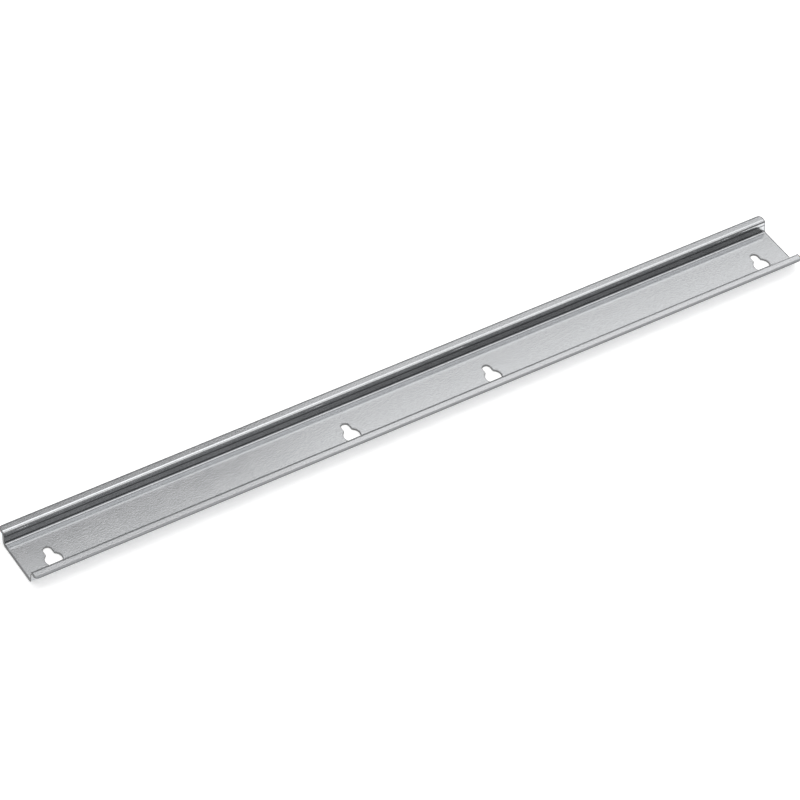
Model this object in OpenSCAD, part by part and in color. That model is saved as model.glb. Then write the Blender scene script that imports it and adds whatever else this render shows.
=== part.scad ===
// Top-hat mounting rail, roll-formed from one strip of zinc-plated steel and punched with
// keyholes that it hangs by. Electrical devices clip over its two flanges.
// Millimetres. The origin is the middle of the underside. +X runs along the rail, +Y across
// it, from the round ends of the keyholes towards their slots, and +Z up, out of the open side.

/* [Rail] */
// Length of the cut piece
rail_length = 412; // [140:1:1000]
// Width over both flanges
rail_width = 35; // [33:0.5:40]
// Height from the underside to the top of the flanges
rail_height = 7.5; // [7:0.5:15]
// Width over the outsides of the two walls, halfway up
hat_width = 26.6; // [25:0.1:28]
// Degrees by which each wall leans outwards from upright
wall_lean = 7; // [0:0.5:10]
// Thickness of the steel strip
sheet = 1; // [0.8:0.1:1.5]
// Radius on the inside of every bend
bend_radius = 0.8; // [0.5:0.1:1.2]
// Radius that rounds off the four corners of the flanges, seen from above
flange_corner_radius = 2; // [0.5:0.1:2]

/* [Keyholes] */
// Diameter of the round end, the wide part of a keyhole
head_hole_diameter = 8; // [7:0.1:9]
// Width of the slot, the narrow part of a keyhole
slot_width = 4; // [3.5:0.1:5]
// Distance between the centres of the round end and of the slot's closed end
slot_reach = 6; // [5:0.1:8]
// Distance of the round end's centre from the rail's centre line
head_hole_offset = 6; // [5:0.1:6.5]
// Distance from each end of the rail to the centre of its outer keyhole
outer_keyhole_margin = 15; // [8:0.5:20]
// Distance between the centres of the two inner keyholes
inner_keyhole_spacing = 76.5; // [20:0.5:80]

/* [Hidden] */
// Every round edge is drawn with this many sides
$fn = 96;
// A cutting shape passes this far beyond the faces that it cuts
overcut = 1;
// Radius on the outside of every bend
outer_bend = bend_radius + sheet;
// Height between the centres that the two bends on one side turn about
bend_rise = rail_height - 2 * outer_bend;
// Where the bend between base and wall turns, measured from the centre line
base_bend_y = hat_width / 2 - (outer_bend + bend_rise / 2 * sin(wall_lean)) / cos(wall_lean);
// Length of the flat part of a wall, from bend to bend
wall_length = (bend_rise + (outer_bend + bend_radius) * sin(wall_lean)) / cos(wall_lean);
// Width of a flange before the strip is trimmed to its outline
untrimmed_flange = rail_width / 2;
// Places of the keyholes along the rail
outer_keyhole_x = rail_length / 2 - outer_keyhole_margin;
inner_keyhole_x = inner_keyhole_spacing / 2;
keyhole_places = [-outer_keyhole_x, -inner_keyhole_x, inner_keyhole_x, outer_keyhole_x];

// Its children, and their mirror image across the plane that the direction is square to
module mirrored(direction) {
    children();
    mirror(direction)
        children();
}

// One bend: the part of a ring as thick as the strip that lies between the end of the flat
// base, straight below the origin, and the foot of the leaning wall
module bend() {
    reach = outer_bend + overcut;
    intersection() {
        difference() {
            circle(r = outer_bend);
            circle(r = bend_radius);
        }
        translate([0, -reach])
            square([reach, 2 * reach]);
        rotate(-wall_lean)
            translate([-reach, -reach])
                square([2 * reach, reach]);
    }
}

// The right half of the section: half of the base, a wall and a flange, joined by the bends.
// Each piece is placed from the end of the one before it.
module half_section() {
    square([base_bend_y, sheet]);
    translate([base_bend_y, outer_bend]) {
        bend();
        rotate(-wall_lean) {
            translate([bend_radius, 0])
                square([sheet, wall_length]);
            translate([bend_radius + outer_bend, wall_length])
                rotate(wall_lean) {
                    rotate(180)
                        bend();
                    translate([0, bend_radius])
                        square([untrimmed_flange, sheet]);
                }
        }
    }
}

// The formed strip along X, before it is trimmed: too long, and its flanges too wide
module formed_strip() {
    translate([-rail_length / 2 - overcut, 0, 0])
        rotate([90, 0, 90])
            linear_extrude(height = rail_length + 2 * overcut)
                mirrored([1, 0])
                    half_section();
}

// The rail's outline seen from above, with the four corners of the flanges rounded off
module outline() {
    between_corners_x = rail_length - 2 * flange_corner_radius;
    between_corners_y = rail_width - 2 * flange_corner_radius;
    square([between_corners_x, rail_width], center = true);
    square([rail_length, between_corners_y], center = true);
    for (x = [-between_corners_x / 2, between_corners_x / 2])
        for (y = [-between_corners_y / 2, between_corners_y / 2])
            translate([x, y])
                circle(r = flange_corner_radius);
}

// The opening of one keyhole: a round end and a narrower slot with a half-round closed end
module keyhole() {
    translate([0, -head_hole_offset])
        circle(d = head_hole_diameter);
    translate([-slot_width / 2, -head_hole_offset])
        square([slot_width, slot_reach]);
    translate([0, slot_reach - head_hole_offset])
        circle(d = slot_width);
}

module rail() {
    color("lightsteelblue")
        difference() {
            intersection() {
                formed_strip();
                translate([0, 0, -overcut])
                    linear_extrude(height = rail_height + 2 * overcut)
                        outline();
            }
            for (x = keyhole_places)
                translate([x, 0, -overcut])
                    linear_extrude(height = sheet + 2 * overcut)
                        keyhole();
        }
}

rail();
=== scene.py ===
import math

import bmesh
import bpy
from mathutils import Matrix, Vector


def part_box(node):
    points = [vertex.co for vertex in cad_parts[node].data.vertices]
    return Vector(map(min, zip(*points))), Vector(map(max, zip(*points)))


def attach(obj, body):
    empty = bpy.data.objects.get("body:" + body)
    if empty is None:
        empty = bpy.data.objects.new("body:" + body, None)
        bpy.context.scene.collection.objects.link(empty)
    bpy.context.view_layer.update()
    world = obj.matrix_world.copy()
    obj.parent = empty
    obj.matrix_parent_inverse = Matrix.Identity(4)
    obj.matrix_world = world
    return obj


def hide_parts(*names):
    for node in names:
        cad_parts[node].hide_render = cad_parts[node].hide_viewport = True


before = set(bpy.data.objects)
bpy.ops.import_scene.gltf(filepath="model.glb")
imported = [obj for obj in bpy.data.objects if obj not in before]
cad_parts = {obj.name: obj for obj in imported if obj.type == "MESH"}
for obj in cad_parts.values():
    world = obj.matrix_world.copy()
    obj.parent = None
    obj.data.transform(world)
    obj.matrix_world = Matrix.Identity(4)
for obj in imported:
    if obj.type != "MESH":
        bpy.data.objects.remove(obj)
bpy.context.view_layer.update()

# Lengths are in metres, and sizes of the rail are written in millimetres
MM = 0.001

# The rail's own sizes
rail_low, rail_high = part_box("rail")
LENGTH = rail_high.x - rail_low.x
WIDTH = rail_high.y - rail_low.y
HEIGHT = rail_high.z - rail_low.z
SHEET = 1 * MM
# Width over the outsides of the walls, halfway up, and how far each wall leans outwards from upright
HAT_WIDTH = 26.6 * MM
WALL_LEAN = math.radians(7)
BEND_RADIUS = 0.8 * MM
OUTER_BEND = BEND_RADIUS + SHEET
FLANGE_CORNER = 2 * MM

# Keyholes: a round end and a slot, with small rounds where the punch's two parts meet
HEAD_HOLE = 8 * MM
SLOT = 4 * MM
SLOT_REACH = 6 * MM
HEAD_HOLE_OFFSET = 6 * MM
PUNCH_ROUND = 0.5 * MM
OUTER_KEYHOLE_MARGIN = 15 * MM
INNER_KEYHOLE_SPACING = 76.5 * MM
KEYHOLE_DISTANCES = (INNER_KEYHOLE_SPACING / 2, LENGTH / 2 - OUTER_KEYHOLE_MARGIN)
KEYHOLE_PLACES = [side * distance for side in (-1, 1) for distance in KEYHOLE_DISTANCES]

# A blade draws the sheet down to a round where it enters, and leaves it nearly sharp where it comes out
BLADE_ROLL_WIDTH, BLADE_ROLL_DEPTH = 0.6 * MM, 0.2 * MM
PUNCH_ROLL_WIDTH, PUNCH_ROLL_DEPTH = 0.3 * MM, 0.15 * MM
UNDER_ROUND = 0.05 * MM

# Numbers of the rail's materials, in order: the plated faces, the long slit edges, and the other cuts
FACE, SLIT, CROPPED = 0, 1, 2

# Steps in each bend, in each flange corner, in a keyhole's round end and in each rounded edge
BEND_STEPS = 16
CORNER_STEPS = 10
HOLE_STEPS = 48
EDGE_STEPS = 6

# The two bends on one side: the angle they turn through, and how high their centres are and how far out
BEND_ANGLE = math.pi / 2 - WALL_LEAN
LEAN_SINE, LEAN_COSINE = math.sin(WALL_LEAN), math.cos(WALL_LEAN)
LOWER_Z, UPPER_Z = OUTER_BEND, HEIGHT - OUTER_BEND
LOWER_Y = HAT_WIDTH / 2 - (OUTER_BEND + (UPPER_Z - LOWER_Z) / 2 * LEAN_SINE) / LEAN_COSINE
UPPER_Y = HAT_WIDTH / 2 + (BEND_RADIUS + (UPPER_Z - LOWER_Z) / 2 * LEAN_SINE) / LEAN_COSINE

# Places across the flat blank, from its middle outwards, at which base, bends, wall and flange end
ARC = BEND_ANGLE * (BEND_RADIUS + SHEET / 2)
BASE_HALF = LOWER_Y
LOWER_BEND_END = BASE_HALF + ARC
WALL_END = LOWER_BEND_END + (UPPER_Y - LOWER_Y) * LEAN_SINE + (UPPER_Z - LOWER_Z) * LEAN_COSINE
UPPER_BEND_END = WALL_END + ARC
BLANK_HALF = UPPER_BEND_END + WIDTH / 2 - UPPER_Y

# Noise patterns keep nearly everywhere between these two values
NOISE_LOW, NOISE_HIGH = 0.2, 0.8

# The mill's grain is 0.05 mm, too fine to show, and is drawn coarser
GRAIN_SIZE, GRAIN_DEPTH = 0.75 * MM, 0.008 * MM
# How far the grain lightens and darkens the zinc
GRAIN_TONE = 0.045
# Clouds that the plating bath leaves, and fine lines that the rolls draw out along the strip
CLOUD_SIZE = 9 * MM
ROLL_LINE_SPACING, ROLL_LINE_LENGTH, ROLL_LINE_DEPTH = 0.6 * MM, 80 * MM, 0.0008 * MM
# Marks of the tear in a sheared edge, which are about 0.1 mm in fact and are drawn coarser
TEAR_SIZE, TEAR_DEPTH = 0.4 * MM, 0.04 * MM

# Painted shade and painted dark reflections, drawn as dark lines: at the foot of each wall, on the wall
# below the upper bend and along the flange's margin. Place across the blank, half width and strength
PAINTED_SHADE_LINES = [
    (LOWER_BEND_END + 0.12 * MM, 0.8 * MM, 1.0),
    (WALL_END - 0.9 * MM, 0.6 * MM, 0.9),
    (BLANK_HALF - 0.5 * MM, 0.6 * MM, 0.6),
]

# The zinc's colours: its clouds run from one grey to the next, and the painted shade lines darken it to the
# dark one
ZINC_DARK, ZINC_LIGHT, ZINC_PAINTED_SHADE = "#cfd1d3", "#d9dadc", "#404447"
ZINC_ROUGHNESS_LEAST, ZINC_ROUGHNESS_MOST = 0.16, 0.20

# The studio: how high its lights hang, and how bright it is between them
LIGHT_HEIGHT = 1.0
STUDIO_LEVEL = 0.07

# The floor lies a hair below the rail, and a glow lifts it to white where the camera or the metal sees it
FLOOR_HALF = 14.0
FLOOR_DROP = 0.05 * MM
FLOOR_COLOUR = "#f4f4f4"
FLOOR_LIFT = 0.62
# Beside the rail it loses up to this much of the glow, out to this distance
FLOOR_SHADE, FLOOR_SHADE_REACH = 0.3, 15 * MM
FLOOR_SHADE_SAMPLES = 8
# Between these distances from the rail's middle the lamps fade out, and the glow takes their place
LIT_REACH, DARK_REACH = 0.8, 3.0


def fold(across, up):
    """Where a point of the flat blank, that high in the sheet, ends up: y, z and the strip's turn."""
    v = abs(across)
    if v <= BASE_HALF:
        return v, up, 0.0
    if v <= LOWER_BEND_END:
        turn = BEND_ANGLE * (v - BASE_HALF) / ARC
        radius = OUTER_BEND - up
        return LOWER_Y + radius * math.sin(turn), LOWER_Z - radius * math.cos(turn), turn
    if v <= WALL_END:
        out, along = OUTER_BEND - up, v - LOWER_BEND_END
        y = LOWER_Y + out * LEAN_COSINE + along * LEAN_SINE
        return y, LOWER_Z - out * LEAN_SINE + along * LEAN_COSINE, BEND_ANGLE
    if v <= UPPER_BEND_END:
        turn = BEND_ANGLE * (UPPER_BEND_END - v) / ARC
        radius = BEND_RADIUS + up
        return UPPER_Y - radius * math.sin(turn), UPPER_Z + radius * math.cos(turn), turn
    return UPPER_Y + v - UPPER_BEND_END, HEIGHT - SHEET + up, 0.0


class Strip:
    """The mesh of the folded strip, with the true normal of each of its points.

    Each point also keeps its depth in the sheet, from 0 on the upper face to 1 on the lower one, and its
    distance from the middle of the flat blank.
    """

    def __init__(self):
        self.mesh = bmesh.new()
        self.normals = []
        self.depths = []
        self.places = []

    def point(self, along, across, up, normal):
        """A new vertex at a place on the flat blank, folded with it. Its normal is given as on the blank."""
        side = math.copysign(1.0, across)
        y, z, turn = fold(across, up)
        along_normal, across_normal, up_normal = normal
        outwards = side * across_normal
        folded_y = outwards * math.cos(turn) - up_normal * math.sin(turn)
        folded_z = outwards * math.sin(turn) + up_normal * math.cos(turn)
        self.normals.append(Vector((along_normal, side * folded_y, folded_z)).normalized())
        self.depths.append(1 - up / SHEET)
        self.places.append(abs(across))
        return self.mesh.verts.new((along, side * y, z))

    def face(self, corners, material):
        """A new smooth face between vertices."""
        made = self.mesh.faces.new(corners)
        made.material_index = material
        made.smooth = True


def arc(centre, radius, start, end, steps):
    """Points on an arc, each with its outward direction. Angles are in degrees."""
    points = []
    for step in range(steps + 1):
        angle = math.radians(start + (end - start) * step / steps)
        direction = Vector((math.cos(angle), math.sin(angle)))
        points.append((Vector(centre) + radius * direction, direction))
    return points


def end_stations():
    """Places across the blank at which its two cut ends need a point, from one side to the other."""
    lower = [BASE_HALF + ARC * step / BEND_STEPS for step in range(BEND_STEPS + 1)]
    upper = [WALL_END + ARC * step / BEND_STEPS for step in range(BEND_STEPS + 1)]
    right = lower + upper
    return [-v for v in reversed(right)] + right


def blank_outline(stations):
    """The blank's outline, anticlockwise from its right-hand end, as points with outward directions."""
    long_half = LENGTH / 2 - FLANGE_CORNER
    wide_half = BLANK_HALF - FLANGE_CORNER
    right, left = Vector((1, 0)), Vector((-1, 0))
    outline = [(Vector((LENGTH / 2, v)), right) for v in stations]
    outline += arc((long_half, wide_half), FLANGE_CORNER, 0, 90, CORNER_STEPS)
    outline += arc((-long_half, wide_half), FLANGE_CORNER, 90, 180, CORNER_STEPS)
    outline += [(Vector((-LENGTH / 2, v)), left) for v in reversed(stations)]
    outline += arc((-long_half, -wide_half), FLANGE_CORNER, 180, 270, CORNER_STEPS)
    outline += arc((long_half, -wide_half), FLANGE_CORNER, 270, 360, CORNER_STEPS)
    return outline


def keyhole_outline(place):
    """A keyhole's outline, anticlockwise from above, with directions that point into the opening."""
    round_centre = Vector((place, -HEAD_HOLE_OFFSET))
    slot_centre = Vector((place, SLOT_REACH - HEAD_HOLE_OFFSET))
    aside = SLOT / 2 + PUNCH_ROUND
    rise = math.sqrt((HEAD_HOLE / 2 + PUNCH_ROUND) ** 2 - aside ** 2)
    lean = math.degrees(math.atan2(rise, aside))
    right_round = round_centre + Vector((aside, rise))
    left_round = round_centre + Vector((-aside, rise))
    hole = [(p, -d) for p, d in arc(round_centre, HEAD_HOLE / 2, 180 - lean, 360 + lean, HOLE_STEPS)]
    hole += arc(right_round, PUNCH_ROUND, 180 + lean, 180, EDGE_STEPS)[1:]
    hole += [(p, -d) for p, d in arc(slot_centre, SLOT / 2, 0, 180, HOLE_STEPS // 2)]
    hole += arc(left_round, PUNCH_ROUND, 0, -lean, EDGE_STEPS)[:-1]
    return hole


def edge_profile(roll_width, roll_depth):
    """A sheared edge from the upper face to the lower one: how far in, how high, and which way it faces.

    The side that the blade enters is drawn in to a wide round. The side that it leaves is nearly sharp.
    """
    angles = [math.pi / 2 * step / EDGE_STEPS for step in range(EDGE_STEPS + 1)]
    profile = []
    for angle in angles:
        inset = roll_width * (1 - math.sin(angle))
        drop = roll_depth * (1 - math.cos(angle))
        slope = Vector((roll_depth * math.sin(angle), roll_width * math.cos(angle))).normalized()
        profile.append((inset, SHEET - drop, slope))
    for angle in angles:
        inset = UNDER_ROUND * (1 - math.cos(angle))
        up = UNDER_ROUND * (1 - math.sin(angle))
        profile.append((inset, up, Vector((math.cos(angle), -math.sin(angle)))))
    return profile


def rim(strip, outline, profile, material_of):
    """The band of faces round an outline. It returns its top and its bottom ring of vertices."""
    rings = []
    for inset, up, slope in profile:
        ring = []
        for place, outward in outline:
            x, v = place - outward * inset
            ring.append(strip.point(x, v, up, (outward.x * slope.x, outward.y * slope.x, slope.y)))
        rings.append(ring)
    count = len(outline)
    for upper, lower in zip(rings, rings[1:]):
        for i in range(count):
            j = (i + 1) % count
            outward = outline[i][1] + outline[j][1]
            strip.face((upper[i], lower[i], lower[j], upper[j]), material_of(outward))
    return rings[0], rings[-1]


def base_sheet(strip, corners, holes, facing):
    """The flat base with its holes, between the first and last base station."""
    edges = []
    for ring in [corners] + holes:
        for a, b in zip(ring, ring[1:] + ring[:1]):
            edges.append(strip.mesh.edges.get((a, b)) or strip.mesh.edges.new((a, b)))
    filled = bmesh.ops.triangle_fill(strip.mesh, use_beauty=True, edges=edges, normal=(0, 0, facing))
    for item in filled["geom"]:
        if isinstance(item, bmesh.types.BMFace):
            item.material_index = FACE
            item.smooth = True
            item.normal_update()
            if item.normal.z * facing < 0:
                item.normal_flip()


def skin(strip, ring, holes, stations, facing):
    """One face of the strip inside its outer rim: flanges, bends, walls and the base with its holes.

    It faces up, 1, or down, -1.
    """
    count = len(stations)
    right = ring[:count]
    after = count + 2 * (CORNER_STEPS + 1)
    left = list(reversed(ring[after:after + count]))
    middle = count // 2 - 1
    for i in range(count - 1):
        if i == middle:
            continue
        corners = [right[i], right[i + 1], left[i + 1], left[i]]
        strip.face(corners[::facing], FACE)
    far_flange = [right[-1]] + ring[count:after] + [left[-1]]
    near_flange = [left[0]] + ring[after + count:] + [right[0]]
    for flange in (far_flange, near_flange):
        strip.face(flange[::facing], FACE)
    corners = [right[middle], right[middle + 1], left[middle + 1], left[middle]]
    base_sheet(strip, corners, holes, facing)


def slit_or_cropped(outward):
    """The material of a cut that faces that way: the long edges were slit, and the ends cropped."""
    return SLIT if abs(outward.y) > abs(outward.x) else CROPPED


def punched(outward):
    """The material of a cut inside a keyhole, the same as at the ends."""
    return CROPPED


def make_rail():
    """The whole rail as one closed mesh."""
    strip = Strip()
    stations = end_stations()
    outer_edge = edge_profile(BLADE_ROLL_WIDTH, BLADE_ROLL_DEPTH)
    keyhole_edge = edge_profile(PUNCH_ROLL_WIDTH, PUNCH_ROLL_DEPTH)
    top, bottom = rim(strip, blank_outline(stations), outer_edge, slit_or_cropped)
    top_holes, bottom_holes = [], []
    for place in KEYHOLE_PLACES:
        hole_top, hole_bottom = rim(strip, keyhole_outline(place)[::-1], keyhole_edge, punched)
        top_holes.append(hole_top)
        bottom_holes.append(hole_bottom)
    skin(strip, top, top_holes, stations, 1)
    skin(strip, bottom, bottom_holes, stations, -1)
    mesh = bpy.data.meshes.new("formed_rail")
    strip.mesh.to_mesh(mesh)
    strip.mesh.free()
    mesh.normals_split_custom_set_from_vertices(strip.normals)
    mesh.attributes.new("depth", "FLOAT", "POINT").data.foreach_set("value", strip.depths)
    mesh.attributes.new("across", "FLOAT", "POINT").data.foreach_set("value", strip.places)
    for make_material in (zinc_plated_face, slit_edge, cropped_edge):
        mesh.materials.append(make_material())
    rail = bpy.data.objects.new("formed_rail", mesh)
    bpy.context.scene.collection.objects.link(rail)
    return rail


def linear(hex_colour):
    """An sRGB hex colour as the linear values that the shaders take, with an alpha of 1."""
    channels = [int(hex_colour[i:i + 2], 16) / 255 for i in (1, 3, 5)]
    straightened = [c / 12.92 if c <= 0.04045 else ((c + 0.055) / 1.055) ** 2.4 for c in channels]
    return (*straightened, 1.0)


def add(tree, kind, settings=None, **inputs):
    """A node of one kind, with its own settings, and with a value or a link for each input that is given.

    An input goes by its name, with _ for a space, or by its number after an i.
    """
    node = tree.nodes.new(kind)
    for name, value in (settings or {}).items():
        setattr(node, name, value)
    for name, value in inputs.items():
        numbered = name[0] == "i" and name[1:].isdigit()
        socket = node.inputs[int(name[1:]) if numbered else name.replace("_", " ")]
        if isinstance(value, bpy.types.NodeSocket):
            tree.links.new(value, socket)
        else:
            socket.default_value = value
    return node


def surface(name):
    """A new material with its node tree and its surface shader, which is a bare metal."""
    material = bpy.data.materials.new(name)
    material.use_nodes = True
    shader = material.node_tree.nodes["Principled BSDF"]
    shader.inputs["Metallic"].default_value = 1.0
    return material, material.node_tree, shader


def per_metre(size):
    """The scale of a pattern whose marks are that far apart."""
    return 1 / size


def zinc_plated_face():
    """Cold-rolled steel strip, electroplated with zinc and passivated, then run through forming rolls.

    The zinc follows the mill's fine matt grain, so it mirrors large lights softly and breaks up their edges
    into a fine grain. It is a cool, slightly bluish grey, with faint clouds from the bath and faint lines
    from the rolls along the strip.
    """
    material, tree, shader = surface("zinc_plated_face")
    place = add(tree, "ShaderNodeTexCoord").outputs["Object"]
    drawn_out = (per_metre(ROLL_LINE_LENGTH), per_metre(ROLL_LINE_SPACING), per_metre(ROLL_LINE_SPACING))
    lengthwise = add(tree, "ShaderNodeMapping", Vector=place, Scale=drawn_out).outputs[0]
    grain = add(tree, "ShaderNodeTexNoise", Vector=place, Scale=per_metre(GRAIN_SIZE),
                Detail=0.0).outputs["Fac"]
    clouds = add(tree, "ShaderNodeTexNoise", Vector=place, Scale=per_metre(CLOUD_SIZE),
                 Detail=3.0, Roughness=0.55).outputs["Fac"]
    lines = add(tree, "ShaderNodeTexNoise", Vector=lengthwise, Scale=1.0,
                Detail=2.0, Roughness=0.5).outputs["Fac"]

    clouded = add(tree, "ShaderNodeMixRGB", Fac=clouds, Color1=linear(ZINC_DARK),
                  Color2=linear(ZINC_LIGHT))
    grained = add(tree, "ShaderNodeMapRange", Value=grain, From_Min=NOISE_LOW, From_Max=NOISE_HIGH,
                  To_Min=1 - GRAIN_TONE, To_Max=1 + GRAIN_TONE)
    toned = add(tree, "ShaderNodeMixRGB", {"blend_type": "MULTIPLY"}, Fac=1.0,
                Color1=clouded.outputs[0], Color2=grained.outputs[0])
    # Painted shade: dark lines stand in for the shade at the walls' feet and for dark reflections below the
    # upper bends and at the flanges' margins
    line_shaded = add(tree, "ShaderNodeMixRGB", Fac=painted_shade_lines(tree, lines),
                 Color1=toned.outputs[0], Color2=linear(ZINC_PAINTED_SHADE))
    tree.links.new(line_shaded.outputs[0], shader.inputs["Base Color"])

    # The roughness follows the clouds, and the roll lines a little less
    line_share, smoothest_at, roughest_at = 0.6, 0.5, 1.1
    mixed = add(tree, "ShaderNodeMath", {"operation": "MULTIPLY_ADD"}, i0=lines, i1=line_share, i2=clouds)
    dulled = add(tree, "ShaderNodeMapRange", Value=mixed.outputs[0], From_Min=smoothest_at,
                 From_Max=roughest_at, To_Min=ZINC_ROUGHNESS_LEAST, To_Max=ZINC_ROUGHNESS_MOST)
    tree.links.new(dulled.outputs[0], shader.inputs["Roughness"])

    fine = add(tree, "ShaderNodeBump", Strength=1.0, Distance=GRAIN_DEPTH, Height=grain)
    rolled = add(tree, "ShaderNodeBump", Strength=1.0, Distance=ROLL_LINE_DEPTH, Height=lines,
                 Normal=fine.outputs[0])
    tree.links.new(rolled.outputs[0], shader.inputs["Normal"])
    return material


def painted_shade_lines(tree, streaks):
    """How strongly painted shade darkens the zinc in thin dark lines along the strip's upper face: shade at
    the foot of each wall, and dark reflections on the wall below the upper bend and along the flange's
    margin.
    """
    # Depths in the sheet at which a mark is whole and gone, and its strength where it is faintest
    whole_at, gone_at, faintest = 0.0, 0.1, 0.75
    across = add(tree, "ShaderNodeAttribute", {"attribute_name": "across"}).outputs["Fac"]
    depth = add(tree, "ShaderNodeAttribute", {"attribute_name": "depth"}).outputs["Fac"]
    total = 0.0
    for place, half_width, strength in PAINTED_SHADE_LINES:
        offset = add(tree, "ShaderNodeMath", {"operation": "SUBTRACT"}, i0=across, i1=place)
        away = add(tree, "ShaderNodeMath", {"operation": "ABSOLUTE"}, i0=offset.outputs[0])
        mark = add(tree, "ShaderNodeMapRange", {"interpolation_type": "SMOOTHSTEP"}, Value=away.outputs[0],
                   From_Min=half_width, From_Max=0.0, To_Min=0.0, To_Max=strength)
        total = add(tree, "ShaderNodeMath", {"operation": "ADD"}, i0=total, i1=mark.outputs[0]).outputs[0]
    upper_face = add(tree, "ShaderNodeMapRange", Value=depth, From_Min=gone_at, From_Max=whole_at,
                     To_Min=0.0, To_Max=1.0)
    uneven = add(tree, "ShaderNodeMapRange", Value=streaks, From_Min=NOISE_LOW, From_Max=NOISE_HIGH,
                 To_Min=faintest, To_Max=1.0)
    shown = add(tree, "ShaderNodeMath", {"operation": "MULTIPLY"}, i0=total, i1=uneven.outputs[0])
    above = add(tree, "ShaderNodeMath", {"operation": "MULTIPLY"}, i0=shown.outputs[0],
                i1=upper_face.outputs[0])
    return above.outputs[0]


def slit_edge():
    """The strip's long edges, slit by round knives and then plated.

    The upper part is burnished by the knife and the lower part is torn, and the zinc over both is duller
    than on the faces.
    """
    return sheared("slit_edge", burnished_colour="#8f9193", torn_colour="#7c7e80",
                   burnished_roughness=0.30, torn_roughness=0.5)


def cropped_edge():
    """The ends and the keyholes, cut after the plating: bare steel, burnished above and torn below.

    It is darker than the zinc, and it has the dull film that bare steel takes from oil and air.
    """
    return sheared("cropped_edge", burnished_colour="#909192", torn_colour="#6f6f6e",
                   burnished_roughness=0.38, torn_roughness=0.55)


def sheared(name, burnished_colour, torn_colour, burnished_roughness, torn_roughness):
    """A sheared edge, with a ragged limit between its burnished and its torn part."""
    # The depth in the sheet, with this share of the noise added, at which the tear begins and is complete
    raggedness, tear_begins, tear_complete = 0.4, 0.55, 0.75
    material, tree, shader = surface(name)
    place = add(tree, "ShaderNodeTexCoord").outputs["Object"]
    depth = add(tree, "ShaderNodeAttribute", {"attribute_name": "depth"}).outputs["Fac"]
    ragged = add(tree, "ShaderNodeTexNoise", Vector=place, Scale=per_metre(TEAR_SIZE),
                 Detail=3.0, Roughness=0.6).outputs["Fac"]
    limit = add(tree, "ShaderNodeMath", {"operation": "MULTIPLY_ADD"}, i0=ragged, i1=raggedness, i2=depth)
    torn = add(tree, "ShaderNodeMapRange", Value=limit.outputs[0], From_Min=tear_begins,
               From_Max=tear_complete, To_Min=0.0, To_Max=1.0).outputs[0]

    colour = add(tree, "ShaderNodeMixRGB", Fac=torn, Color1=linear(burnished_colour),
                 Color2=linear(torn_colour))
    tree.links.new(colour.outputs[0], shader.inputs["Base Color"])

    dulled = add(tree, "ShaderNodeMapRange", Value=torn, From_Min=0.0, From_Max=1.0,
                 To_Min=burnished_roughness, To_Max=torn_roughness)
    tree.links.new(dulled.outputs[0], shader.inputs["Roughness"])

    height = add(tree, "ShaderNodeMath", {"operation": "MULTIPLY"}, i0=ragged, i1=torn)
    bump = add(tree, "ShaderNodeBump", Strength=1.0, Distance=TEAR_DEPTH, Height=height.outputs[0])
    tree.links.new(bump.outputs[0], shader.inputs["Normal"])
    return material


def pale_floor():
    """A matt pale sheet. Its glow shows only to the camera, in gloss and through glass."""
    material = bpy.data.materials.new("pale_floor")
    material.use_nodes = True
    tree = material.node_tree
    shader = tree.nodes["Principled BSDF"]
    shader.inputs["Base Color"].default_value = linear(FLOOR_COLOUR)
    shader.inputs["Roughness"].default_value = 0.9
    shader.inputs["Specular IOR Level"].default_value = 0.0

    rays = add(tree, "ShaderNodeLightPath").outputs
    seen = add(tree, "ShaderNodeMath", {"operation": "MAXIMUM"}, i0=rays["Is Camera Ray"],
               i1=rays["Is Glossy Ray"])
    seen = add(tree, "ShaderNodeMath", {"operation": "MAXIMUM"}, i0=seen.outputs[0],
               i1=rays["Is Transmission Ray"])

    # The rail shades the glow as it would shade light from all round, so that its shadow stays
    open_sky = add(tree, "ShaderNodeAmbientOcclusion", {"samples": FLOOR_SHADE_SAMPLES},
                   Distance=FLOOR_SHADE_REACH)
    shaded = add(tree, "ShaderNodeMapRange", Value=open_sky.outputs["AO"], From_Min=0.0, From_Max=1.0,
                 To_Min=FLOOR_LIFT - FLOOR_SHADE, To_Max=FLOOR_LIFT)

    place = add(tree, "ShaderNodeTexCoord").outputs["Object"]
    away = add(tree, "ShaderNodeVectorMath", {"operation": "LENGTH"}, i0=place).outputs["Value"]
    unlit = add(tree, "ShaderNodeMapRange", Value=away, From_Min=LIT_REACH, From_Max=DARK_REACH,
                To_Min=0.0, To_Max=1 - FLOOR_LIFT)

    evened = add(tree, "ShaderNodeMath", {"operation": "ADD"}, i0=shaded.outputs[0], i1=unlit.outputs[0])
    lift = add(tree, "ShaderNodeMath", {"operation": "MULTIPLY"}, i0=seen.outputs[0], i1=evened.outputs[0])
    glow = add(tree, "ShaderNodeEmission", Strength=lift.outputs[0])
    both = add(tree, "ShaderNodeAddShader", i0=shader.outputs[0], i1=glow.outputs[0])
    tree.links.new(both.outputs[0], tree.nodes["Material Output"].inputs["Surface"])
    return material


def make_floor():
    """A large square sheet that the rail lies on."""
    mesh = bpy.data.meshes.new("floor")
    corners = [(x * FLOOR_HALF, y * FLOOR_HALF, 0) for x, y in ((-1, -1), (1, -1), (1, 1), (-1, 1))]
    mesh.from_pydata(corners, [], [(0, 1, 2, 3)])
    mesh.materials.append(pale_floor())
    floor = bpy.data.objects.new("floor", mesh)
    bpy.context.scene.collection.objects.link(floor)
    floor.location.z = -FLOOR_DROP


def make_world():
    """The dim studio round the lamps."""
    world = bpy.data.worlds.new("studio")
    world.use_nodes = True
    background = world.node_tree.nodes["Background"]
    background.inputs["Color"].default_value = (STUDIO_LEVEL, STUDIO_LEVEL, STUDIO_LEVEL, 1)
    bpy.context.scene.world = world


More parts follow.
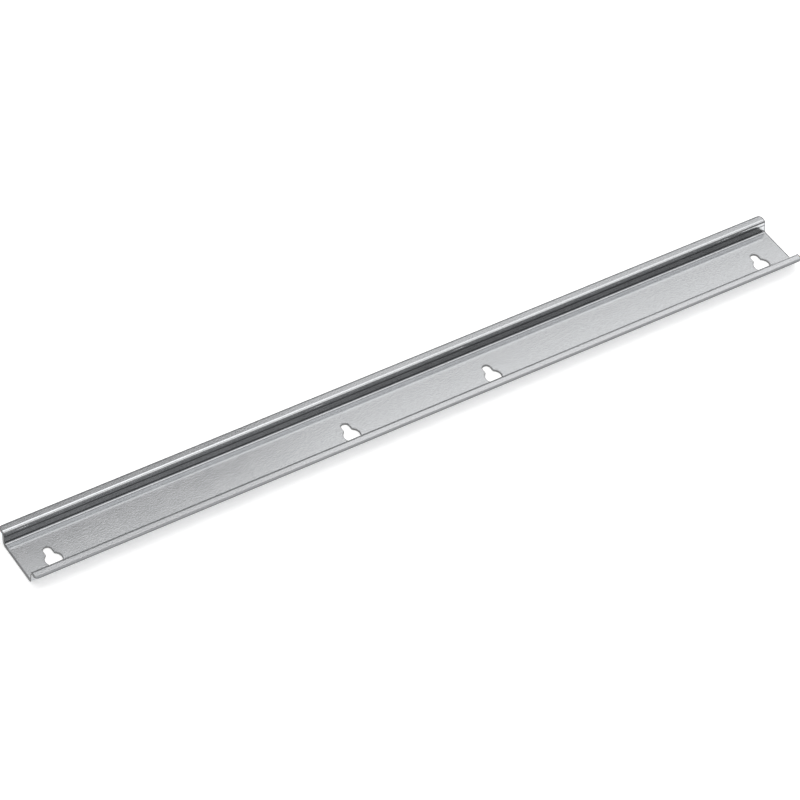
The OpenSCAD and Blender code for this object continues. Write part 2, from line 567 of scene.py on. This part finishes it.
def softbox(name, size, place, aim, brightness, turn=0.0):
    """An area lamp that looks as bright as a white card does at brightness 1, turned in its own plane."""
    lamp = bpy.data.lights.new(name, "AREA")
    lamp.shape = "RECTANGLE"
    lamp.size, lamp.size_y = size
    lamp.energy = math.pi * size[0] * size[1] * brightness
    item = bpy.data.objects.new(name, lamp)
    item.location = place
    item.rotation_euler = (Vector(aim) - Vector(place)).to_track_quat("-Z", "Y").to_euler()
    item.rotation_euler.rotate_axis("Z", math.radians(turn))
    bpy.context.scene.collection.objects.link(item)


def ceiling_light(name, left, right, near, far, brightness, turn=0.0, below=0.0):
    """A light that faces down between these sides, at the height of the lights or that far below it."""
    x, y = (left + right) / 2, (near + far) / 2
    softbox(name, (right - left, far - near), (x, y, LIGHT_HEIGHT - below), (x, y, 0), brightness, turn)


def light_studio():
    """The lamps: large soft ones overhead, and dim cards round the rail."""
    # The base mirrors the far edge of the overhead light, so its grain shows and it darkens to the left
    ceiling_light("overhead", -0.7, 1.7, near=-0.25, far=0.80, brightness=1.18, turn=2)
    ceiling_light("overhead_far_strip", 0.44, 1.7, near=0.80, far=0.85, brightness=1.0)
    ceiling_light("overhead_near", -0.7, 1.7, near=-0.90, far=-0.38, brightness=1.0, turn=2)
    ceiling_light("overhead_near_strip", -0.7, 0.62, near=-1.25, far=-0.90, brightness=0.35)
    ceiling_light("overhead_near_strip_right", 0.62, 1.7, near=-1.25, far=-0.90, brightness=0.12)

    # The left half of the studio is brighter, which whitens the upper bends there
    ceiling_light("left_window", -0.7, 0.4, near=0.16, far=0.60, brightness=0.38, below=0.02)
    ceiling_light("left_window_near", -0.7, 0.5, near=-0.88, far=-0.40, brightness=0.1, below=0.02)

    # Dim cards in front and behind keep the low sides of the studio from being black in the metal
    softbox("front_card_left", (2.1, 0.6), (-0.45, -1.6, 0.62), (-0.45, 0, 0), brightness=0.27)
    softbox("front_card_right", (1.9, 0.6), (1.55, -1.6, 0.62), (1.55, 0, 0), brightness=0.16)
    softbox("far_card", (4.0, 0.6), (0.5, 1.5, 0.7), (0.5, 0, 0), brightness=0.40)
    softbox("far_card_right", (0.9, 0.5), (1.15, 1.2, 0.7), (0, 0, 0), brightness=0.25)
    softbox("front_card_far_right", (1.5, 0.7), (2.2, -1.6, 0.62), (0.9, 0, 0), brightness=0.5)

    # A fill and a card beyond each end do the same when the rail is seen from behind or from its ends
    ceiling_light("near_left_fill", -1.2, 0.0, near=-1.9, far=-1.25, brightness=0.45)
    softbox("left_end_card", (2.4, 0.9), (-1.8, 0, 0.55), (0, 0, 0), brightness=0.5)
    softbox("right_end_card", (2.4, 0.9), (2.2, 0, 0.60), (0, 0, 0), brightness=0.5)


def make_camera():
    """The photograph's view: over the near side, from the left, with a long lens."""
    azimuth, elevation, roll = (math.radians(a) for a in (-34.99, 45.57, 4.06))
    distance = 1.734
    # Pixels: the focal length, where the rail's middle shows from the image's middle, and the image's side
    focal_length = 3784
    to_the_right, upwards = 16.33, 1.62
    image_size = 800
    back = Vector((math.sin(azimuth) * math.cos(elevation),
                   -math.cos(azimuth) * math.cos(elevation),
                   math.sin(elevation)))
    level = Vector((math.cos(azimuth), math.sin(azimuth), 0))
    raised = back.cross(level)
    right = math.cos(roll) * level + math.sin(roll) * raised
    up = math.cos(roll) * raised - math.sin(roll) * level
    data = bpy.data.cameras.new("camera")
    camera = bpy.data.objects.new("camera", data)
    bpy.context.scene.collection.objects.link(camera)
    data.lens = data.sensor_width * focal_length / image_size
    data.shift_x = -to_the_right / image_size
    data.shift_y = -upwards / image_size
    data.clip_start, data.clip_end = 0.1, 20
    turned = Matrix((right, up, back)).transposed().to_4x4()
    camera.matrix_world = Matrix.Translation(back * distance) @ turned
    bpy.context.scene.camera = camera


make_camera()
make_world()
light_studio()
make_floor()

rail = make_rail()
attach(rail, "root")
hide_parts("rail")

bpy.context.scene.view_settings.view_transform = "Standard"
